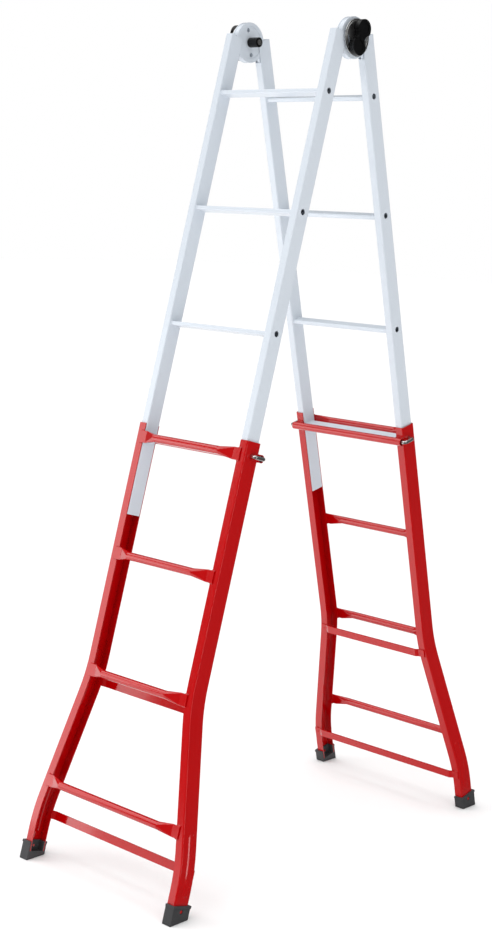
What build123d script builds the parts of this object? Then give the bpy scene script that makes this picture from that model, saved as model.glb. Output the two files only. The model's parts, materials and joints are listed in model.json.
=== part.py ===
from build123d import *
import os
from math import atan, cos, pi, radians, sin, tan

# ---- driving dimensions, in millimetres and degrees --------------------------------------------
# X runs along the hinge axis, the front section stands on the -Y side, +Z is up and the origin is
# on the floor under the middle of the hinge axis.

# stance
half_angle = 14.3           # lean of each section when the ladder stands as an A
sole_reach = 2011.0         # hinge axis to the floor, along a stile's centre line
hinge_offset = 47.5         # hinge axis to a stile's centre line, square to the section

# rungs
rung_pitch = 280.0
first_rung = 140.0          # hinge axis to the highest rung
section_rungs = 4

# upper section, rectangular tube
upper_width = 342.0
stile_wide = 20.0
stile_deep = 40.0
stile_wall = 1.5
stile_corner = 2.5
stile_top = 1.5             # the stiles start this far below the hinge axis
upper_tail = 186.0          # stile below the lowest upper rung
tread_deep = 30.0
tread_tall = 10.0
tread_wall = 1.5
tread_corner = 3.0
tread_drop = 3.0            # a tread sits this far below its lock hole
lock_hole = 14.0

# lower section, open channel
side_gap = 2.0              # stile to channel web
slide_gap = 0.5             # stile to each channel flange
channel_wall = 2.0
flange_reach = 22.0
channel_lead = 33.0         # channel above its highest rung
bend_1_drop = 7.0           # first bend below the third lower rung
bend_2_drop = 78.0          # second bend below the fourth lower rung
foot_width = 504.0          # across the channels below the second bend
bend_radius = 400.0
channel_corner = 3.0        # outside corner of the folded sheet
channel_short = 15.0        # channel ends this far above the sole
rib_long = 138.0
rib_wide = 18.0
rib_depth = 1.5
rib_flank = 2.6             # width of a rib's sloping side
rib_rim = 1.5
rib_shift = 4.0             # ribs sit this far towards the inner side
rib_1_drop = 14.0           # sunk rib's centre below the first bend
rib_2_rise = 11.0           # raised rib's centre above the second bend

# round rungs, guide tube and flat bars of the lower section
tube_dia = 19.0
tube_wall = 1.5
flat_long = 20.0            # flattened end
neck_long = 36.0            # round to flat
pinch_gap = 0.4             # slit left in a flattened end
tube_oval = 0.1             # drawn tubes stand this much taller than they are deep
rung_margin = 14.0          # rung end to the web's outer face
tube_stand_out = 2.0        # guide tube end beyond the web
crimp_gap = 0.7             # rod to the crimp
crimp_long = 3.0
crimp_depth = 22.0          # crimp inside the tube's end
weld_leg = 5.5
weld_root = 2.0             # weld starts this much nearer the tube's line than its leg
weld_toe = 0.5              # weld's top edge inside the tube's width
bar_tall = 20.0
bar_thick = 3.0
bar_joggle = 4.0
bar_margin = 5.0
joggle_run = 8.0
mid_bar_drop = 20.0         # middle bar below the first bend
low_bar_drop = 9.0          # bottom bar below the second bend
dimple_dia = 6.0
dimple_depth = 0.8

# rubber feet
foot_wall = 4.0
foot_lining = 3.0
foot_tall = 38.0
lip_tall = 6.0
lip_out = 1.2
rivet_dia = 6.0
rivet_head = 10.0
rivet_head_tall = 1.5
rivet_drop = 13.0           # rivet below the foot's top

# section lock pins
rod_dia = 9.0
rod_bend = 6.5
rod_clear = 0.5             # rod to the hole in the web
pin_rest_gap = 0.3          # U-bend to the guide tube's end when locked
pin_draw = 5.0              # pin drawn out from locked, as stored
pin_tip_gap = 0.5           # drawn pin's tip to the stile
leg_long = 97.0
collar_dia = 14.0
collar_long = 3.0
pin_coil_gap = 0.6          # rod to its spring
pin_coil_wire = 1.4
pin_coil_turns = 12

# hinges
cheek_radius = 47.0
cheek_thick = 3.0
wall_gap = 0.5              # cheek to the other section's stile wall
plate_gap = 0.4             # cheek to rear plate
plate_inset = 0.5           # rear plate's rim inside the cheek's
arm_side_gap = 1.0          # arm to the stile's front and back walls
arm_start = 12.0
arm_end = 105.0
notch_margin = 5.0          # cheek's rim to the end of the stile's notch
pad_margin = 9.0            # cheek's rim to the arm's packing
dish_margin = 9.0           # width of the inner cheek's raised rim
dish_depth = 1.2
finger_circle = 29.0
finger_angle = 103.0
finger_dia = 9.0
finger_hole = 10.0
finger_relief = 1.5         # finger to the stile wall cut away for it
finger_back = 0.8           # drawn finger's tip to the rear plate
lock_inset = 5.0            # lock plate's rim inside the cheek's
lock_thick = 2.0
lock_stand_off = 4.5        # drawn lock plate to the stile's outer face
stud_dia = 10.0
stud_clear = 0.15
cup_radius = 11.5
cup_wall = 2.0
cup_long = 29.0
cup_end = 7.0
cup_gap = 0.3
nut_dia = 13.0
nut_recess = 4.0
nut_proud = 1.0
hinge_coil_mean = 16.0
hinge_coil_wire = 2.0
hinge_coil_turns = 5
knob_gap = 0.5
knob_thick = 15.0
knob_lobe = 23.0
knob_spread = 19.5          # lobe centre to the hinge axis
knob_waist = 30.0
knob_lean = 22.0
knob_shell = 3.0
knob_hub = 9.0
knob_edge = 3.0
knob_cover = 4.0            # knob material over the stud's end

# ---- derived places ----------------------------------------------------------------------------
plate_radius = cheek_radius - plate_inset
notch_end = cheek_radius + notch_margin
pad_start = cheek_radius + pad_margin
lock_radius = cheek_radius - lock_inset
axle_height = sole_reach * cos(radians(half_angle)) - hinge_offset * sin(radians(half_angle))
outer_face = upper_width / 2
inner_face = outer_face - stile_wide
web_face = outer_face + side_gap + channel_wall
foot_face = foot_width / 2
half_depth = stile_deep / 2 + slide_gap + channel_wall
pin_level = first_rung + (section_rungs - 1) * rung_pitch
bend_1 = pin_level + (section_rungs - 2) * rung_pitch + bend_1_drop
bend_2 = pin_level + (section_rungs - 1) * rung_pitch + bend_2_drop
flare = atan((foot_face - web_face) / (bend_2 - bend_1))
channel_top = pin_level - channel_lead
channel_end = sole_reach - channel_short
tube_radius = tube_dia / 2
tube_line = half_depth + tube_radius
BIG = 4000.0

# ---- frames: a section is drawn hanging straight down from the hinge axis, its outer side on -Y --


def front(shape):
    """Place a piece of the hanging section as the front of the standing ladder."""
    return Pos(0, 0, axle_height) * Rot(-half_angle, 0, 0) * shape


def rear(shape):
    """Place a piece of the hanging section as the rear of the standing ladder."""
    return Rot(0, 0, 180) * front(shape)


def on_axle(shape):
    """Raise a piece drawn round the origin to the hinge axis."""
    return Pos(0, 0, axle_height) * shape


def box(x, y, z):
    """A box between two corners, each pair given as (low, high)."""
    centre = Pos((x[0] + x[1]) / 2, (y[0] + y[1]) / 2, (z[0] + z[1]) / 2)
    return centre * Box(x[1] - x[0], y[1] - y[0], z[1] - z[0])


def along_x(face, x0, x1):
    """Extrude a face drawn in Y and Z from x0 to x1."""
    return Pos(x0, 0, 0) * extrude(Plane.YZ * face, x1 - x0)


def along_y(face, y0, y1):
    """Extrude a face drawn in X and Z from y0 to y1."""
    return Pos(0, y1, 0) * extrude(Plane.XZ * face, y1 - y0)


def rod_x(radius, x0, x1, y=0.0, z=0.0):
    return along_x(Pos(y, z) * Circle(radius), x0, x1)


def mirrored(shape):
    return mirror(shape, Plane.YZ)


def web_at(level):
    """Outer face of the channel's web at a distance below the hinge axis."""
    along = min(max(level - bend_1, 0), bend_2 - bend_1)
    return web_face + along * tan(flare)


# ---- upper section -----------------------------------------------------------------------------


def upper_stile():
    middle = (outer_face + inner_face) / 2
    level_end = pin_level + upper_tail
    outline = Pos(middle, -hinge_offset) * RectangleRounded(stile_wide, stile_deep, stile_corner)
    bore = Pos(middle, -hinge_offset) * RectangleRounded(
        stile_wide - 2 * stile_wall, stile_deep - 2 * stile_wall, stile_corner - stile_wall
    )
    tube = Pos(0, 0, -level_end) * extrude(outline - bore, level_end - stile_top)
    near_wall = -hinge_offset + stile_deep / 2
    tube -= box(
        (inner_face + stile_wall, outer_face - stile_wall),
        (near_wall - stile_wall - slide_gap, near_wall + slide_gap),
        (-notch_end, 0),
    )
    relief = finger_circle + finger_dia / 2 + finger_relief
    tube -= rod_x(relief, outer_face - stile_wall - slide_gap, outer_face + 1)
    for i in range(section_rungs):
        level = first_rung + i * rung_pitch
        tube -= rod_x(lock_hole / 2, middle, outer_face + 1, -hinge_offset, -level)
    return tube


def tread(i):
    level = first_rung + i * rung_pitch + tread_drop
    outline = RectangleRounded(tread_deep, tread_tall, tread_corner)
    bore_deep = tread_deep - 2 * tread_wall
    bore_tall = tread_tall - 2 * tread_wall
    bore = RectangleRounded(bore_deep, bore_tall, tread_corner - tread_wall)
    return along_x(Pos(-hinge_offset, -level) * (outline - bore), -inner_face, inner_face)


# ---- lower section -----------------------------------------------------------------------------


def channel_line(inset):
    """The channel's outer line moved inwards, as (points, corner radii), from top to bottom."""
    step = inset * tan(flare / 2)
    points = [
        (web_face - inset, -channel_top),
        (web_face - inset, -bend_1 - step),
        (foot_face - inset, -bend_2 - step),
        (foot_face - inset, -channel_end),
    ]
    return points, (bend_radius + inset, bend_radius + flange_reach - inset)


def channel_band(inset_0, inset_1):
    """The face between two lines that follow the channel."""
    outer, outer_radii = channel_line(inset_0)
    inner, inner_radii = channel_line(inset_1)
    radii = (0, *outer_radii, 0, 0, *reversed(inner_radii), 0)
    return make_face(FilletPolyline(*outer, *reversed(inner), radius=radii, close=True))


def rib_bar(level, bend, radius, way, top, bottom, grow):
    """A sloping-sided bar that follows the web over one bend, between two depths in the sheet.

    It narrows with depth when `way` is 1 and widens when it is -1.
    """
    slope = way * rib_flank / rib_depth
    half = (rib_long - rib_wide) / 2
    wide = rib_wide / 2 + grow
    points = [Vector(web_at(at), 0, -at) for at in (level - half, bend, level + half)]
    path = FilletPolyline(*points, radius=radius)
    ways = [(points[1] - points[0]).normalized(), (points[2] - points[1]).normalized()]
    section = Polygon(
        (-wide + top * slope, -top),
        (wide - top * slope, -top),
        (wide - bottom * slope, -bottom),
        (-wide + bottom * slope, -bottom),
        align=None,
    )
    bar = sweep(Plane(points[0], x_dir=(0, 1, 0), z_dir=ways[0]) * section, path)
    for point, way in ((points[0], ways[0]), (points[2], ways[1])):
        outward = Vector(-way.Z, 0, way.X)
        cone = Cone(
            wide - bottom * slope,
            wide - top * slope,
            bottom - top,
            align=(Align.CENTER, Align.CENTER, Align.MIN),
        )
        bar += Plane(point - outward * bottom, x_dir=(0, 1, 0), z_dir=outward) * cone
    return Pos(0, -hinge_offset + rib_shift, 0) * bar


def plain_channel():
    """The bent channel with its two long corners rounded, before ribs and holes."""
    y_front = -hinge_offset - half_depth
    y_back = -hinge_offset + half_depth
    flange = channel_band(0, flange_reach)
    body = along_y(flange, y_front, y_back)
    corners = body.edges().filter_by(lambda edge: on_outer_line(edge.center(), y_front, y_back))
    body = fillet(corners, channel_corner)
    hollow = channel_band(channel_wall, flange_reach + 1)
    return body - along_y(hollow, y_front + channel_wall, y_back - channel_wall)


def on_outer_line(point, y_front, y_back):
    """Whether an edge's middle lies on one of the channel's two long outer corners."""
    on_face = min(abs(point.Y - y_front), abs(point.Y - y_back)) < 0.01
    level = -point.Z
    inside = channel_top + 1 < level < channel_end - 1
    return on_face and inside and point.X > web_at(level) - flange_reach / 2


def lower_stile():
    y_front = -hinge_offset - half_depth
    y_back = -hinge_offset + half_depth
    body = plain_channel()
    through = channel_wall * rib_flank / rib_depth
    skin = channel_wall - rib_rim
    sunk = (bend_1 + rib_1_drop, bend_1, bend_radius, 1)
    raised = (bend_2 - rib_2_rise, bend_2, bend_radius + flange_reach, -1)
    body += rib_bar(*sunk, skin, channel_wall + rib_depth, rib_rim + through)
    body -= rib_bar(*sunk, -1, rib_depth, 0)
    body += rib_bar(*raised, -rib_depth, skin, 0)
    body -= rib_bar(*raised, channel_wall - rib_depth, channel_wall + 1, -rib_rim - through)
    body -= rod_x(rod_dia / 2 + rod_clear, outer_face, web_face + 1, -hinge_offset, -pin_level)
    body -= rod_x(
        rivet_dia / 2,
        web_at(channel_end) - flange_reach,
        foot_face + 1,
        -hinge_offset,
        -(foot_top_level() + rivet_drop),
    )
    return body


def foot_top_level():
    return sole_reach - foot_tall


def flattened_tube(half_length):
    """A tube along X with both ends pressed flat against the plane y = 0, on its -Y side."""
    outer_flat = pi * (tube_dia - tube_wall) / 2 + tube_wall
    inner_flat = outer_flat - 2 * tube_wall
    flat_x = half_length - flat_long
    neck_x = flat_x - neck_long

    def solid(radius, flat, thick, end):
        round_at = Plane((neck_x, 0, 0), x_dir=(0, 1, 0), z_dir=(1, 0, 0))
        flat_at = Plane((flat_x, 0, 0), x_dir=(0, 1, 0), z_dir=(1, 0, 0))
        barrel_slot = Rot(0, 0, 90) * SlotOverall(2 * radius + tube_oval, 2 * radius)
        ring = round_at * Pos(-tube_radius, 0) * barrel_slot
        pressed = flat_at * Pos(-tube_wall, 0) * (Rot(0, 0, 90) * SlotOverall(flat, thick))
        neck = loft([ring.face(), pressed.face()])
        blade = extrude(pressed, end - flat_x)
        barrel = extrude(ring, -neck_x)
        half = barrel + neck + blade
        return half + mirrored(half)

    shell = solid(tube_radius, outer_flat, 2 * tube_wall, half_length)
    return shell - solid(tube_radius - tube_wall, inner_flat, pinch_gap, half_length + 1)


def outer_rung(i):
    level = pin_level + i * rung_pitch
    half_length = web_at(level) - rung_margin
    return Pos(0, -hinge_offset - half_depth, -level) * flattened_tube(half_length)


def weld(side):
    """Fillet weld between a tube lying on a flat and the flat, seen along the tube."""
    root = tube_radius - weld_leg - weld_root
    toe = tube_radius - weld_toe
    return make_face(Polyline((0, root * side), (0, tube_radius * side), (weld_leg, toe * side), close=True))


def guide_tube():
    end = web_face + tube_stand_out
    y = -hinge_offset + tube_line
    tube = rod_x(tube_radius, -end, end, y, -pin_level)
    tube -= rod_x(tube_radius - tube_wall, -end - 1, end + 1, y, -pin_level)
    ring = Circle(tube_radius - tube_wall / 2) - Circle(rod_dia / 2 + crimp_gap)
    for side in (-1, 1):
        x = side * (end - crimp_depth)
        tube += along_x(Pos(y, -pin_level) * ring, x - crimp_long / 2, x + crimp_long / 2)
    outside = Circle(tube_radius - tube_wall / 2)
    for side in (-1, 1):
        bead = Pos(-hinge_offset + half_depth, -pin_level) * weld(side)
        bead -= Pos(y, -pin_level) * outside
        run = along_x(bead, web_face - flange_reach + 1, web_face - 1)
        tube += run
        tube += mirrored(run)
    return tube


def flat_bar(level):
    """Flat bar lapped on the inner flanges and joggled clear of the sliding section."""
    end = web_at(level) - bar_margin
    lap = web_at(level) - flange_reach - 1
    shelf = lap - joggle_run
    near = [(end, 0), (lap, 0), (shelf, bar_joggle)]
    far = [(x, y + bar_thick) for x, y in near]
    outline = near + [(-x, y) for x, y in reversed(near)]
    outline += [(-x, y) for x, y in far] + list(reversed(far))
    face = make_face(Polyline(*outline, close=True))
    bar = Pos(0, -hinge_offset + half_depth, -level - bar_tall / 2) * extrude(face, bar_tall)
    for side in (-1, 1):
        x = side * (lap + dimple_dia)
        y = -hinge_offset + half_depth + bar_thick - dimple_depth
        dimple = Pos(x, y, -level) * Rot(-90, 0, 0) * Cylinder(
            dimple_dia / 2, 2 * dimple_depth, align=(Align.CENTER, Align.CENTER, Align.MIN)
        )
        bar -= dimple
    return bar


def foot():
    """Rubber shoe over the channel's end, still without its slanted sole."""
    y = -hinge_offset
    top = foot_top_level()
    depth = half_depth + foot_wall
    shoe_inner = foot_face - flange_reach
    below = sole_reach + 2 * half_depth
    shoe = box((shoe_inner, foot_face + foot_wall), (y - depth, y + depth), (-below, -top))
    lip = box(
        (shoe_inner, foot_face + foot_wall + lip_out),
        (y - depth - lip_out, y + depth + lip_out),
        (-top - lip_tall, -top),
    )
    lining = half_depth - channel_wall - foot_lining
    recess = box(
        (shoe_inner - 1, foot_face - channel_wall - foot_lining),
        (y - lining, y + lining),
        (-channel_end, -top + 1),
    )
    shoe = shoe + lip - recess
    shoe -= plain_channel()
    return shoe - rod_x(rivet_dia / 2, shoe_inner, foot_face + 2 * foot_wall, y, -top - rivet_drop)


def foot_rivet():
    y, z = -hinge_offset, -(foot_top_level() + rivet_drop)
    inside = foot_face - channel_wall - foot_lining
    outside = foot_face + foot_wall
    rivet = rod_x(rivet_dia / 2, inside, outside, y, z)
    rivet += rod_x(rivet_head / 2, outside, outside + rivet_head_tall, y, z)
    return rivet + rod_x(rivet_head / 2, inside - rivet_head_tall, inside, y, z)


def on_floor(shape):
    """Trim a placed foot level with the floor."""
    return shape & box((-BIG, BIG), (-BIG, BIG), (0, BIG))


# ---- section locks -----------------------------------------------------------------------------


def lock_pin():
    """U-bent pin: short leg through the web, long leg in the guide tube, drawn out to clear the stile."""
    base = web_face + tube_stand_out + pin_rest_gap + rod_dia / 2 + pin_draw
    tip = outer_face + pin_tip_gap
    short_y = -hinge_offset
    long_y = -hinge_offset + tube_line
    leg_end = base - leg_long
    path = FilletPolyline(
        (tip, short_y, -pin_level),
        (base, short_y, -pin_level),
        (base, long_y, -pin_level),
        (leg_end, long_y, -pin_level),
        radius=rod_bend,
    )
    start = Plane((tip, short_y, -pin_level), x_dir=(0, 1, 0), z_dir=(1, 0, 0))
    rod = sweep(start * Circle(rod_dia / 2), path)
    collar = rod_x(collar_dia / 2, leg_end, leg_end + collar_long, long_y, -pin_level)
    return rod + collar


def coil(mean, wire, turns, x0, x1):
    """Coil spring along X between two faces."""
    length = x1 - x0 - wire
    line = Helix(pitch=length / turns, height=length, radius=mean / 2)
    start = Plane(line @ 0, z_dir=line % 0)
    spring = sweep(start * Circle(wire / 2), line, is_frenet=True)
    return Pos(x0 + wire / 2, 0, 0) * Rot(0, 90, 0) * spring


def pin_spring():
    base = web_face + tube_stand_out + pin_rest_gap + rod_dia / 2 + pin_draw
    x0 = base - leg_long + collar_long
    x1 = web_face + tube_stand_out - crimp_depth - crimp_long / 2
    coil_mean = rod_dia + 2 * pin_coil_gap + pin_coil_wire
    spring = coil(coil_mean, pin_coil_wire, pin_coil_turns, x0 + wall_gap, x1 - wall_gap)
    return Pos(0, -hinge_offset + tube_line, -pin_level) * spring


# ---- hinges, drawn for the +X side ---------------------------------------------------------------

cheek_outer = outer_face - stile_wall - wall_gap
cheek_inner = inner_face + stile_wall + wall_gap
plate_outer = cheek_outer - cheek_thick - plate_gap
plate_inner = cheek_inner + cheek_thick + plate_gap
arm_near = -hinge_offset + stile_deep / 2 - stile_wall - arm_side_gap
arm_far = -hinge_offset - stile_deep / 2 + stile_wall + arm_side_gap


def arm(start, end):
    """Outline of a hinge arm inside its stile."""
    middle = (arm_near + arm_far) / 2
    return Pos(middle, -(start + end) / 2) * Rectangle(arm_near - arm_far, end - start)


def polar(radius, angle):
    return radius * cos(radians(angle)), radius * sin(radians(angle))


def finger_places(turn):
    return [polar(finger_circle, finger_angle + turn + half) for half in (0, 180)]


def bored(shape, places):
    """Cut the stud's bore and finger holes through a piece already placed."""
    cut = rod_x(stud_dia / 2 + stud_clear, 0, outer_face)
    for y, z in places:
        cut += rod_x(finger_hole / 2, 0, outer_face, y, z)
    return shape - on_axle(cut)


def cheek(outer):
    """Front half of a hinge: a disc and arm riveted in the stile, dished if it is the inner one."""
    outline = Circle(cheek_radius) + arm(arm_start, arm_end)
    if outer:
        plate = along_x(outline, cheek_outer - cheek_thick, cheek_outer)
        return plate + along_x(arm(pad_start, arm_end), cheek_outer, cheek_outer + wall_gap)
    plate = along_x(outline, cheek_inner, cheek_inner + cheek_thick)
    plate -= rod_x(cheek_radius - dish_margin, cheek_inner - 1, cheek_inner + dish_depth)
    return plate + along_x(arm(pad_start, arm_end), cheek_inner - wall_gap, cheek_inner)


def rear_plate():
    """Rear half of a hinge in the hanging section; the rear section is turned, so it is on -X."""
    plate = along_x(Circle(plate_radius) + arm(arm_start, arm_end), plate_inner, plate_outer)
    plate += along_x(arm(pad_start, arm_end), inner_face + stile_wall, outer_face - stile_wall)
    return mirrored(plate)


def lock_plate():
    x0 = outer_face + lock_stand_off
    plate = rod_x(lock_radius, x0, x0 + lock_thick)
    for y, z in finger_places(0):
        plate += rod_x(finger_dia / 2, plate_outer + finger_back, x0, y, z)
    for y, z in finger_places(90):
        slot = Pos(y, z) * Rot(0, 0, finger_angle) * SlotOverall(finger_hole * 2, finger_hole / 2)
        plate -= along_x(slot, x0 - 1, x0 + lock_thick + 1)
    return plate - rod_x(stud_dia / 2, x0 - 1, x0 + lock_thick + 1)


knob_back = outer_face + lock_stand_off + lock_thick + knob_gap
knob_front = knob_back + knob_thick
stud_outer_end = knob_front - knob_cover
cup_rim = cheek_inner - cup_gap
cup_bottom = cup_rim - cup_long


def stud():
    return rod_x(stud_dia / 2, cup_bottom - nut_proud, stud_outer_end)


def spring_cup():
    cup = rod_x(cup_radius, cup_bottom, cup_rim)
    cup -= rod_x(cup_radius - cup_wall, cup_bottom + cup_end, cup_rim + 1)
    cup -= rod_x(nut_dia / 2, cup_bottom - 1, cup_bottom + nut_recess)
    return cup - rod_x(stud_dia / 2, cup_bottom - 1, cup_rim)


def stud_nut():
    nut = rod_x(nut_dia / 2, cup_bottom - nut_proud, cup_bottom + nut_recess)
    return nut - rod_x(stud_dia / 2, cup_bottom - nut_proud - 1, cup_rim)


def hinge_spring():
    return coil(hinge_coil_mean, hinge_coil_wire, hinge_coil_turns, cup_bottom + cup_end, cheek_inner)


def knob_outline(inset):
    lobes = Pos(0, knob_spread) * Circle(knob_lobe - inset) + Pos(0, -knob_spread) * Circle(knob_lobe - inset)
    return lobes & Rectangle(2 * (knob_lobe - inset), 2 * (knob_spread + knob_lobe)) + Rectangle(
        knob_waist - 2 * inset, 2 * knob_spread
    )


def knob():
    body = along_x(knob_outline(0), knob_back, knob_front)
    rim = body.faces().sort_by(Axis.X)[-1].edges()
    body = chamfer(rim, knob_edge)
    hollow = along_x(knob_outline(knob_shell), knob_back - 1, knob_front - knob_cover)
    body = body - hollow + rod_x(knob_hub, knob_back, knob_front - knob_cover)
    body -= rod_x(stud_dia / 2 + stud_clear, knob_back - 1, stud_outer_end)
    return Rot(-knob_lean, 0, 0) * body


# ---- build every node --------------------------------------------------------------------------

nodes = {}
for name, place in (("front", front), ("rear", rear)):
    # the rear section is the front one turned round, so its right side is drawn on -X
    sides = {"right": lambda shape: shape, "left": mirrored}
    if name == "rear":
        sides = {"right": mirrored, "left": lambda shape: shape}
    for side, hand in sides.items():
        nodes[f"{name}_upper_stile_{side}"] = place(hand(upper_stile()))
        nodes[f"{name}_lower_stile_{side}"] = place(hand(lower_stile()))
        nodes[f"{name}_foot_{side}"] = on_floor(place(hand(foot())))
        nodes[f"{name}_lock_pin_{side}"] = place(hand(lock_pin()))
    for i in range(section_rungs):
        nodes[f"{name}_upper_rung_{i + 1}"] = place(tread(i))
        nodes[f"{name}_lower_rung_{i + 1}"] = place(outer_rung(i))
    nodes[f"{name}_guide_tube"] = place(guide_tube())
    nodes[f"{name}_middle_bar"] = place(flat_bar(bend_1 + mid_bar_drop))
    nodes[f"{name}_bottom_bar"] = place(flat_bar(bend_2 + low_bar_drop))
    rivets = [place(foot_rivet()), place(mirrored(foot_rivet()))]
    nodes[f"{name}_foot_rivets"] = Compound(children=rivets)
    springs = [place(pin_spring()), place(mirrored(pin_spring()))]
    nodes[f"{name}_pin_springs"] = Compound(children=springs)

cheek_holes = finger_places(0)
plate_holes = finger_places(0) + finger_places(2 * half_angle)
for side, hand in (("right", lambda shape: shape), ("left", mirrored)):
    nodes[f"hinge_outer_cheek_{side}"] = hand(bored(front(cheek(True)), cheek_holes))
    nodes[f"hinge_inner_cheek_{side}"] = hand(bored(front(cheek(False)), cheek_holes))
    nodes[f"hinge_rear_plate_{side}"] = hand(bored(rear(rear_plate()), plate_holes))
    nodes[f"hinge_lock_plate_{side}"] = hand(on_axle(lock_plate()))
    nodes[f"hinge_stud_{side}"] = hand(on_axle(stud()))
    nodes[f"hinge_cup_{side}"] = hand(on_axle(spring_cup()))
    nodes[f"hinge_nut_{side}"] = hand(on_axle(stud_nut()))
    nodes[f"hinge_spring_{side}"] = hand(on_axle(hinge_spring()))
nodes["hinge_knob_right"] = on_axle(knob())
nodes["hinge_knob_left"] = Rot(0, 0, 180) * on_axle(knob())

os.makedirs("parts", exist_ok=True)
for name, shape in nodes.items():
    export_step(shape, f"parts/{name}.step")
print(len(nodes), "nodes, hinge axis at", round(axle_height, 1))
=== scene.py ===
import json
from math import pi, radians

import bpy
from mathutils import Matrix, Vector


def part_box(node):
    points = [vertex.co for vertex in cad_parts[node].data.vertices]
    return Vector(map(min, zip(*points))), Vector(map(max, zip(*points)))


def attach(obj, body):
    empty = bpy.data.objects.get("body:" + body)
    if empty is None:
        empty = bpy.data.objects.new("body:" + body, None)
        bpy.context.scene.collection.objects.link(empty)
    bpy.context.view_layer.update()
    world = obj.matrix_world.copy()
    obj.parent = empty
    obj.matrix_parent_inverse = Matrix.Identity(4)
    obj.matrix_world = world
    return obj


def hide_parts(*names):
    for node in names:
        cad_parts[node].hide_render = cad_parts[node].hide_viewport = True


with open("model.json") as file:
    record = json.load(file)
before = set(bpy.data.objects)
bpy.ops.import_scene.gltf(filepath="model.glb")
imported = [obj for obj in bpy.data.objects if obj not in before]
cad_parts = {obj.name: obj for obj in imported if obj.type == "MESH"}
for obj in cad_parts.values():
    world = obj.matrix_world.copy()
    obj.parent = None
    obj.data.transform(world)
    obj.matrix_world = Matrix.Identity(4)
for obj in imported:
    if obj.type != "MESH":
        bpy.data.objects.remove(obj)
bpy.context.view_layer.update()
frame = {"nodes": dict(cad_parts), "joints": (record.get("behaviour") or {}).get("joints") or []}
nodes = frame["nodes"]

# ---- studio: pale sweep, soft lights and the camera ----------------------------------------------
# A wide sheet of white paper lies under the ladder, in a white room; in reflections the paper is painted
# bright on the left and dark to the right, a painted reflection.
# Large diffused panels light it from the left, from the front, from above and from the right.
# The camera stands at chest height, off the front right corner.


def let_go():
    """Leave edit mode with nothing selected."""
    if bpy.context.object and bpy.context.object.mode != "OBJECT":
        bpy.ops.object.mode_set(mode="OBJECT")
    bpy.ops.object.select_all(action="DESELECT")


def panel(name, place, aim, size, power):
    """A soft rectangular lamp at a place, turned to face another."""
    light = bpy.data.lights.new(name, "AREA")
    light.shape = "RECTANGLE"
    light.size, light.size_y = size
    light.energy = power
    lamp = bpy.data.objects.new(name, light)
    lamp.location = place
    lamp.rotation_euler = (Vector(aim) - Vector(place)).to_track_quat("-Z", "Y").to_euler()
    bpy.context.scene.collection.objects.link(lamp)


let_go()
bpy.ops.mesh.primitive_grid_add(x_subdivisions=1, y_subdivisions=1, size=60, location=(0, 0, -0.0008))
floor = bpy.context.object
floor.name = "studio_floor"
bpy.ops.object.transform_apply(location=True, rotation=True, scale=True)

panel("left_panel", (-2.35, -1.95, 0.75), (-0.1, 0.0, 0.6), (1.3, 2.6), 20)
panel("right_panel", (3.2, 0.4, 2.9), (0.0, 0.0, 1.2), (1.6, 1.6), 6)
panel("side_panel", (3.1, -1.0, 0.55), (0.0, -0.3, 0.55), (0.6, 1.9), 11)
panel("front_panel", (0.4, -4.2, 3.4), (0.0, 0.0, 1.3), (2.2, 1.4), 22)

overhead = bpy.data.lights.new("overhead", "SUN")
overhead.energy = 2.15
overhead.angle = radians(80)
overhead_lamp = bpy.data.objects.new("overhead", overhead)
overhead_lamp.rotation_euler = (radians(10), radians(-10), 0)
bpy.context.scene.collection.objects.link(overhead_lamp)


def stage_node(tree, kind, **values):
    """Add a node to the room's own materials."""
    made = tree.nodes.new(kind)
    for key, value in values.items():
        made.inputs[key.replace("_", " ")].default_value = value
    return made


def by_ray(tree, seen, mirrored, other):
    """A strength of one value to the eye, another in reflections and a third for all other light."""
    ray = tree.nodes.new("ShaderNodeLightPath")
    dim = stage_node(tree, "ShaderNodeMapRange", To_Min=other)
    if isinstance(mirrored, bpy.types.NodeSocket):
        tree.links.new(mirrored, dim.inputs["To Max"])
    else:
        dim.inputs["To Max"].default_value = mirrored
    full = stage_node(tree, "ShaderNodeMapRange", To_Max=seen)
    tree.links.new(ray.outputs["Is Glossy Ray"], dim.inputs["Value"])
    tree.links.new(ray.outputs["Is Camera Ray"], full.inputs["Value"])
    tree.links.new(dim.outputs["Result"], full.inputs["To Min"])
    return full.outputs["Result"]


world = bpy.data.worlds.new("studio")
bpy.context.scene.world = world
world.use_nodes = True
sky = world.node_tree.nodes["Background"]
sky.inputs["Color"].default_value = (1.0, 1.0, 1.0, 1.0)
world.node_tree.links.new(by_ray(world.node_tree, 1.0, 0.10, 0.42), sky.inputs["Strength"])
bpy.context.scene.view_settings.view_transform = "Standard"

paper = bpy.data.materials.new("studio_paper")
paper.use_nodes = True
sheet = paper.node_tree.nodes["Principled BSDF"]
sheet.inputs["Roughness"].default_value = 0.9
sheet.inputs["Specular IOR Level"].default_value = 0.0
where = paper.node_tree.nodes.new("ShaderNodeTexCoord")
split = paper.node_tree.nodes.new("ShaderNodeSeparateXYZ")
# painted reflection: in glossy rays the paper's colour runs from bright left of the ladder to dark on its
# right, so the red paint mirrors a light side and a dark side; to the eye and in all other light the paper
# stays an even white
painted_reflection_span = {"From_Min": -0.15, "From_Max": 0.35, "To_Min": 0.9, "To_Max": 0.07}
painted_reflection_tone = stage_node(paper.node_tree, "ShaderNodeMapRange", **painted_reflection_span)
paper_with_painted_reflection = stage_node(paper.node_tree, "ShaderNodeCombineColor")
paper.node_tree.links.new(where.outputs["Object"], split.inputs["Vector"])
paper.node_tree.links.new(split.outputs["X"], painted_reflection_tone.inputs["Value"])
for channel in ("Red", "Green", "Blue"):
    level = by_ray(paper.node_tree, 0.97, painted_reflection_tone.outputs["Result"], 0.97)
    paper.node_tree.links.new(level, paper_with_painted_reflection.inputs[channel])
paper.node_tree.links.new(paper_with_painted_reflection.outputs["Color"], sheet.inputs["Base Color"])
floor.data.materials.append(paper)

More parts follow.
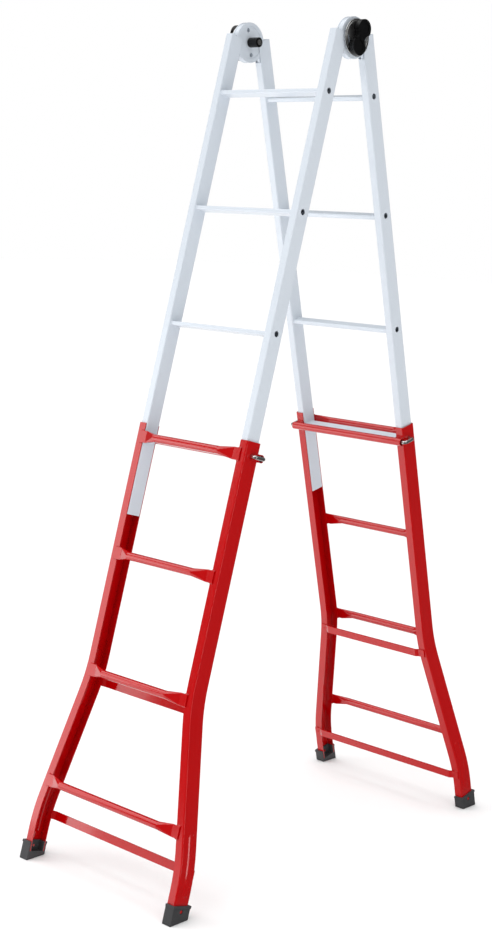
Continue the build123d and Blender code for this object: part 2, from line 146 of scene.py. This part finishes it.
camera_data = bpy.data.cameras.new("camera")
camera_data.sensor_fit = "VERTICAL"
camera_data.sensor_height = 24.0
camera_data.lens = 41.488
camera = bpy.data.objects.new("camera", camera_data)
bpy.context.scene.collection.objects.link(camera)
bearing = Matrix.Rotation(radians(42.6476), 4, "Z")
tilt = Matrix.Rotation(radians(90 - 9.2056), 4, "X")
roll = Matrix.Rotation(radians(2.5496), 4, "Z")
camera.matrix_world = Matrix.Translation((2.6144, -2.9521, 1.545)) @ bearing @ tilt @ roll
bpy.context.scene.camera = camera

# ---- upper sections: white powder-coated steel tube ----------------------------------------------
# Four stiles of drawn rectangular tube and eight treads of the same, welded square across them.
# A thin fillet weld runs round each tread's end, and the whole section is sprayed a slightly blue white.


class Signal:
    """One output of a material's node, used in plain expressions."""

    def __init__(self, finish, socket):
        self.finish, self.socket = finish, socket

    def maths(self, operation, *values):
        return self.finish.node("ShaderNodeMath", {"operation": operation}, dict(enumerate(values)))

    def __add__(self, other):
        return self.maths("ADD", self, other)

    def __sub__(self, other):
        return self.maths("SUBTRACT", self, other)

    def __rsub__(self, other):
        return self.maths("SUBTRACT", other, self)

    def __mul__(self, other):
        return self.maths("MULTIPLY", self, other)

    __radd__, __rmul__ = __add__, __mul__


class Finish:
    """A new material: `node` adds any node, and `set` fills the shader's sockets."""

    def __init__(self, name):
        self.material = bpy.data.materials.new(name)
        self.material.use_nodes = True
        self.tree = self.material.node_tree
        self.shader = self.tree.nodes["Principled BSDF"]

    def node(self, kind, settings, inputs, output=0):
        made = self.tree.nodes.new(kind)
        for key, value in settings.items():
            if key == "stops":
                ramp = made.color_ramp
                ramp.elements[0].position, ramp.elements[0].color = value[0]
                ramp.elements[1].position, ramp.elements[1].color = value[-1]
                for position, colour in value[1:-1]:
                    ramp.elements.new(position).color = colour
            else:
                setattr(made, key, value)
        for key, value in inputs.items():
            if isinstance(value, Signal):
                self.tree.links.new(value.socket, made.inputs[key])
            else:
                made.inputs[key].default_value = value
        return Signal(self, made.outputs[output])

    def place(self):
        return self.node("ShaderNodeTexCoord", {}, {}, "Object")

    def noise(self, scale, detail=2.0, roughness=0.5, vector=None):
        inputs = {"Vector": vector or self.place(), "Scale": scale, "Detail": detail, "Roughness": roughness}
        return self.node("ShaderNodeTexNoise", {}, inputs, "Fac")

    def mix(self, factor, a, b):
        settings = {"data_type": "RGBA"}
        return self.node("ShaderNodeMix", settings, {0: factor, 6: a, 7: b}, 2)

    def ramp(self, factor, *stops):
        pairs = [(position, (value, value, value, 1.0)) for position, value in stops]
        return self.node("ShaderNodeValToRGB", {"stops": pairs}, {"Fac": factor})

    def bump(self, height, strength, distance, under=None):
        inputs = {"Height": height, "Strength": strength, "Distance": distance}
        if under is not None:
            inputs["Normal"] = under
        return self.node("ShaderNodeBump", {}, inputs)

    def set(self, **sockets):
        for key, value in sockets.items():
            socket = self.shader.inputs[key.replace("_", " ")]
            if isinstance(value, Signal):
                self.tree.links.new(value.socket, socket)
            else:
                socket.default_value = value
        return self.material


def powder_coat(name, colour, thin_colour, roughness, tint, level):
    """A sprayed and baked coat: orange peel, slight drift of colour and a few duller patches."""
    coat = Finish(name)
    peel = coat.noise(900.0, 2.0)
    drift = coat.noise(9.0, 3.0)
    specks = coat.ramp(coat.noise(420.0, 1.0), (0.70, 0.0), (0.76, 1.0))
    base = coat.mix(drift * 0.5 + specks * 0.25, colour, thin_colour)
    return coat.set(
        Base_Color=base,
        Roughness=coat.noise(30.0, 3.0) * 0.06 + (roughness - 0.03),
        Normal=coat.bump(drift * 0.4 + peel, 0.05, 0.0003),
        Specular_IOR_Level=level,
        Specular_Tint=tint,
    )


white_paint = powder_coat(
    "white_powder_coat", (0.70, 0.755, 0.82, 1), (0.665, 0.72, 0.79, 1), 0.20, (1, 1, 1, 1), 0.5
)


def coat_nodes(material, names):
    """Give CAD nodes a finish."""
    for name in names:
        mesh = nodes[name].data
        mesh.materials.clear()
        mesh.materials.append(material)


def modify(piece, kind, **settings):
    """Add a modifier and apply it."""
    let_go()
    piece.select_set(True)
    bpy.context.view_layer.objects.active = piece
    modifier = piece.modifiers.new(kind.lower(), kind)
    for key, value in settings.items():
        setattr(modifier, key, value)
    bpy.ops.object.modifier_apply(modifier=modifier.name)


def settle(piece, name, material, slot, body, *stands_for):
    """Name a finished piece, smooth it, put its place in its mesh, paint it and hang it on its body."""
    let_go()
    piece.name = piece.data.name = name
    piece.select_set(True)
    bpy.context.view_layer.objects.active = piece
    bpy.ops.object.transform_apply(location=True, rotation=True, scale=True)
    bpy.ops.object.shade_smooth_by_angle(angle=radians(25))
    modify(piece, "WEIGHTED_NORMAL", keep_sharp=True, weight=100)
    piece.data.materials.clear()
    piece.data.materials.append(material)
    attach(piece, body)
    if stands_for:
        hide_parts(*stands_for)
    return piece


def joined(pieces):
    """Join pieces into the first of them."""
    let_go()
    for piece in pieces:
        piece.select_set(True)
    bpy.context.view_layer.objects.active = pieces[0]
    bpy.ops.object.join()
    return bpy.context.object


def copied(piece, matrix):
    """A copy of a piece with its own mesh, moved by a matrix."""
    twin = bpy.data.objects.new(piece.name, piece.data.copy())
    bpy.context.scene.collection.objects.link(twin)
    twin.matrix_world = matrix @ piece.matrix_world
    return twin


def edit(piece):
    """Open a piece in edit mode with all of it selected."""
    let_go()
    piece.select_set(True)
    bpy.context.view_layer.objects.active = piece
    bpy.ops.object.mode_set(mode="EDIT")
    bpy.ops.mesh.select_all(action="SELECT")


sides = ("left", "right")
sections = ("front", "rear")
lean = radians(14.3)
axle = [joint for joint in frame["joints"] if joint["name"] == "ladder_fold"][0]["pos_m"][2]
to_front = Matrix.Translation((0, 0, axle)) @ Matrix.Rotation(-lean, 4, "X")
hang = {"front": to_front, "rear": Matrix.Rotation(pi, 4, "Z") @ to_front}

coat_nodes(white_paint, [f"{end}_upper_stile_{side}" for end in sections for side in sides])
coat_nodes(white_paint, [f"{end}_upper_rung_{i}" for end in sections for i in range(1, 5)])

tread_reach = 0.151
tread_deep, tread_tall, tread_corner = 0.030, 0.010, 0.003
tread_weld = 0.0013
let_go()
bpy.ops.mesh.primitive_plane_add(size=1, rotation=(0, pi / 2, 0))
collar = bpy.context.object
collar.scale = (tread_tall, tread_deep, 1)
bpy.ops.object.transform_apply(location=True, rotation=True, scale=True)
edit(collar)
bpy.ops.mesh.bevel(offset=tread_corner, segments=4, affect="VERTICES")
bpy.ops.mesh.delete(type="ONLY_FACE")
bpy.ops.object.mode_set(mode="OBJECT")
bpy.ops.object.convert(target="CURVE")
collar.data.bevel_depth = tread_weld
collar.data.bevel_resolution = 2
bpy.ops.object.convert(target="MESH")
collar = bpy.context.object
for end in sections:
    rings = []
    for i in range(1, 5):
        low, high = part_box(f"{end}_upper_rung_{i}")
        middle = Vector((0, (low.y + high.y) / 2, (low.z + high.z) / 2))
        for side in (-1, 1):
            turn = hang[end].to_3x3().to_4x4()
            place = Matrix.Translation(middle + Vector((side * tread_reach, 0, 0)))
            rings.append(copied(collar, place @ turn))
    settle(joined(rings), f"{end}_tread_welds", white_paint, "white_paint", f"{end}_upper")
bpy.data.objects.remove(collar)

# ---- lower sections: red powder-coated channel, rungs and bars -----------------------------------
# Stiles of folded sheet channel flare outwards to the feet, with ribs pressed into the two bends.
# Tube rungs with flattened ends and flat bars lap on the flanges, held by short runs of weld bead.

red_paint = powder_coat(
    "red_powder_coat", (0.52, 0.0, 0.001, 1), (0.46, 0.0, 0.001, 1), 0.12, (1.0, 0.85, 0.85, 1), 0.5
)
lacquer = red_paint.node_tree.nodes["Principled BSDF"]
lacquer.inputs["Coat Weight"].default_value = 0.6
lacquer.inputs["Coat Roughness"].default_value = 0.06
lower_parts = ["guide_tube", "middle_bar", "bottom_bar"]
lower_parts += [f"lower_rung_{i}" for i in range(1, 5)]
coat_nodes(red_paint, [f"{end}_{part}" for end in sections for part in lower_parts])


def softened(node, width, segments=3, limit=35):
    """A merged copy of a CAD piece with its hard edges rounded."""
    copy = bpy.data.objects.new(node + "_copy", nodes[node].data.copy())
    bpy.context.scene.collection.objects.link(copy)
    edit(copy)
    bpy.ops.mesh.remove_doubles(threshold=0.00001)
    bpy.ops.mesh.dissolve_limited(angle_limit=radians(0.5))
    bpy.ops.object.mode_set(mode="OBJECT")
    modify(copy, "BEVEL", width=width, segments=segments, limit_method="ANGLE", angle_limit=radians(limit))
    return copy


for end in sections:
    for side in sides:
        node = f"{end}_lower_stile_{side}"
        piece = softened(node, 0.0005, 2, 18)
        settle(piece, f"{end}_channel_{side}", red_paint, "red_paint", f"{end}_lower", node)

straight_web, flare_start, flare_run = 0.175, 1.547, 0.077 / 0.351
flange_reach = 0.022
highest_rung, rung_pitch = 0.980, 0.280
middle_bar, bottom_bar = 1.567, 1.907
outer_flange, inner_flange = -0.070, -0.025
bead_long, bead_wide, ripple = 0.0100, 0.0019, 0.0015


def web_at(level):
    """Half the width over the webs at a distance below the hinge axis."""
    return straight_web + max(level - flare_start, 0) * flare_run


def bead():
    """A short run of weld: overlapping ripples along X, drawn out at both ends."""
    ripples = []
    count = round(bead_long / ripple)
    for k in range(count):
        let_go()
        size = bead_wide * (1.0 - 0.35 * abs(2 * k / (count - 1) - 1) ** 3)
        bpy.ops.mesh.primitive_uv_sphere_add(
            segments=12, ring_count=8, radius=1, location=((k - (count - 1) / 2) * ripple, 0, 0)
        )
        drop = bpy.context.object
        drop.scale = (0.9 * size, size, size)
        bpy.ops.object.transform_apply(location=True, rotation=True, scale=True)
        ripples.append(drop)
    return joined(ripples)


run = bead()
blade_half, bar_half = 0.0146, 0.0100
blade_start, bar_start = -0.001, 0.0035
for end in sections:
    beads = []
    lines = [(highest_rung + rung_pitch * i, outer_flange, blade_half, blade_start) for i in range(4)]
    lines += [(level, inner_flange, bar_half, bar_start) for level in (middle_bar, bottom_bar)]
    for level, y, half, start in lines:
        middle = web_at(level) - flange_reach + start + bead_long / 2
        for side in (-1, 1):
            for edge in (-1, 1):
                spot = Matrix.Translation((side * middle, y, -level + edge * half))
                beads.append(copied(run, hang[end] @ spot))
    settle(joined(beads), f"{end}_rung_welds", red_paint, "red_paint", f"{end}_lower")
bpy.data.objects.remove(run)

# ---- rubber feet ---------------------------------------------------------------------------------
# Moulded rubber boots pushed over the channel ends, with a flared lip, open towards the middle.
# A rivet through the web, sunk in the boot and painted with the channel, holds each one.

rubber = Finish("foot_rubber")
grain = rubber.noise(600.0, 3.0)
rubber.set(
    Base_Color=rubber.mix(rubber.noise(25.0, 3.0), (0.038, 0.039, 0.041, 1), (0.060, 0.061, 0.064, 1)),
    Roughness=grain * 0.15 + 0.55,
    Normal=rubber.bump(grain, 0.2, 0.0004),
)


def cylinder(radius, depth, place, vertices=96):
    """A cylinder along X."""
    let_go()
    bpy.ops.mesh.primitive_cylinder_add(
        vertices=vertices, radius=radius, depth=depth, location=place, rotation=(0, pi / 2, 0)
    )
    bpy.ops.object.transform_apply(location=True, rotation=True, scale=True)
    return bpy.context.object


def carve(piece, operation, tool):
    """Join a tool shape to a piece or cut it away, and drop the tool."""
    modify(piece, "BOOLEAN", operation=operation, object=tool, solver="EXACT")
    bpy.data.objects.remove(tool)


sole_reach, boot_tall, stile_line = 2.011, 0.038, -0.0475
boot_face, rivet_drop = 0.256, 0.013
well_radius, well_deep = 0.0052, 0.005
head_radius, head_thick, head_sunk, head_round = 0.0038, 0.003, 0.0024, 0.0012
shank_radius, shank_long, shank_middle = 0.003, 0.008, 0.249
for end in sections:
    heads = []
    for side in sides:
        node = f"{end}_foot_{side}"
        low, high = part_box(node)
        hand = 1 if high.x > 0 else -1
        boot = softened(node, 0.0012)
        well = hang[end] @ Vector((0, stile_line, boot_tall - rivet_drop - sole_reach))
        mouth = cylinder(well_radius, well_deep, (hand * boot_face, well.y, well.z), 48)
        carve(boot, "DIFFERENCE", mouth)
        settle(boot, f"{end}_boot_{side}", rubber.material, "rubber_foot", f"{end}_lower", node)
        head = cylinder(head_radius, head_thick, (hand * (boot_face - head_sunk), well.y, well.z), 48)
        modify(head, "BEVEL", width=head_round, segments=4, limit_method="ANGLE")
        heads += [head, cylinder(shank_radius, shank_long, (hand * shank_middle, well.y, well.z), 32)]
    node = f"{end}_foot_rivets"
    settle(joined(heads), f"{end}_rivets", red_paint, "red_paint", f"{end}_lower", node)

# ---- zinc-plated pins, studs and springs ----------------------------------------------------------
# Bent steel rod pins lock the lower sections to the upper ones, pulled home by springs in the guide tube.
# All are bright zinc plated, slightly clouded.

zinc = Finish("bright_zinc")
cloud = zinc.noise(60.0, 4.0)
zinc.set(
    Base_Color=zinc.mix(cloud, (0.70, 0.70, 0.68, 1), (0.56, 0.57, 0.58, 1)),
    Metallic=1.0,
    Roughness=cloud * 0.2 + 0.18,
    Normal=zinc.bump(zinc.noise(500.0, 2.0), 0.08, 0.0003),
)
zinc_names = [f"{end}_lock_pin_{side}" for end in sections for side in sides]
zinc_names += [f"{end}_pin_springs" for end in sections]
zinc_names += [f"hinge_{part}_{side}" for part in ("stud", "nut", "spring") for side in sides]
coat_nodes(zinc.material, zinc_names)

# ---- hinges --------------------------------------------------------------------------------------
# Pressed steel discs riveted in the stile ends turn on a stud, and are sprayed with the stiles.
# A zinc-plated lock plate with two fingers slides on the stud under a black nylon butterfly knob.

discs = (("outer_cheek", "front_upper"), ("inner_cheek", "front_upper"), ("rear_plate", "rear_upper"))
for side in sides:
    for part, body in discs:
        node = f"hinge_{part}_{side}"
        settle(softened(node, 0.0006, 2), f"disc_{part}_{side}", white_paint, "white_paint", body, node)

nylon = Finish("black_nylon")
nylon.set(
    Base_Color=nylon.mix(nylon.noise(40.0, 3.0), (0.002, 0.002, 0.002, 1), (0.005, 0.005, 0.006, 1)),
    Roughness=nylon.noise(80.0, 3.0) * 0.15 + 0.28,
    Specular_IOR_Level=0.28,
    Normal=nylon.bump(nylon.noise(700.0, 2.0), 0.15, 0.0004),
)
for side in sides:
    node = f"hinge_cup_{side}"
    cup = softened(node, 0.0012)
    settle(cup, f"spring_cup_{side}", nylon.material, "black_plastic", f"hinge_lock_{side}", node)

# the lock plate gets a pressed ring and rounded edges
ring_radius, ring_round = 0.0365, 0.0018
for side, hand in (("left", -1), ("right", 1)):
    node = f"hinge_lock_plate_{side}"
    plate = softened(node, 0.0005, 2)
    outer = hand * max(abs(corner.x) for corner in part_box(node))
    let_go()
    bpy.ops.mesh.primitive_torus_add(
        major_radius=ring_radius,
        minor_radius=ring_round,
        major_segments=96,
        minor_segments=12,
        location=(outer, 0, axle),
        rotation=(0, pi / 2, 0),
    )
    ring = bpy.context.object
    ring.scale = (1, 1, 0.5)
    bpy.ops.object.transform_apply(location=True, rotation=True, scale=True)
    disc = joined([plate, ring])
    settle(disc, f"locking_disc_{side}", zinc.material, "bright_zinc", f"hinge_lock_{side}", node)

# the knob is two round lobes joined by a waist
lobe, spread, waist, pinch, thick = 0.0215, 0.021, 0.0105, 0.014, 0.015
dish_radius, dish_out, dish_deep = 0.62 * lobe, 1.05 * spread, 0.0024
cap_radius, cap_thick = 0.0085, 0.0012
knob_lean = radians(22)

knob = cylinder(lobe, thick, (thick / 2, 0, spread))
carve(knob, "UNION", cylinder(lobe, thick, (thick / 2, 0, -spread)))
let_go()
bpy.ops.mesh.primitive_cube_add(size=1, location=(thick / 2, 0, 0))
bridge = bpy.context.object
bridge.scale = (thick, 2 * lobe * 0.8, 2 * spread * 0.8)
bpy.ops.object.transform_apply(location=True, rotation=True, scale=True)
carve(knob, "UNION", bridge)
for hand in (-1, 1):
    carve(knob, "DIFFERENCE", cylinder(pinch, 2 * thick, (thick / 2, hand * (waist + pinch), 0)))
for hand in (-1, 1):
    carve(knob, "DIFFERENCE", cylinder(dish_radius, dish_deep, (thick, 0, hand * dish_out)))
modify(knob, "BEVEL", width=0.0022, segments=4, limit_method="ANGLE", angle_limit=radians(28))
carve(knob, "UNION", cylinder(cap_radius, cap_thick, (thick, 0, 0), 48))
sliver = 0.00003
edit(knob)
bpy.ops.mesh.remove_doubles(threshold=sliver)
bpy.ops.mesh.dissolve_degenerate(threshold=sliver)
bpy.ops.object.mode_set(mode="OBJECT")
knob.data.validate()
for side, turn in (("right", 0.0), ("left", pi)):
    node = f"hinge_knob_{side}"
    low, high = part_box(node)
    back = min(abs(low.x), abs(high.x))
    place = Matrix.Translation((0, 0, axle)) @ Matrix.Rotation(turn, 4, "Z")
    place = place @ Matrix.Rotation(-knob_lean, 4, "X") @ Matrix.Translation((back, 0, 0))
    twin = copied(knob, place)
    settle(twin, f"butterfly_knob_{side}", nylon.material, "black_plastic", f"hinge_knob_{side}", node)
bpy.data.objects.remove(knob)
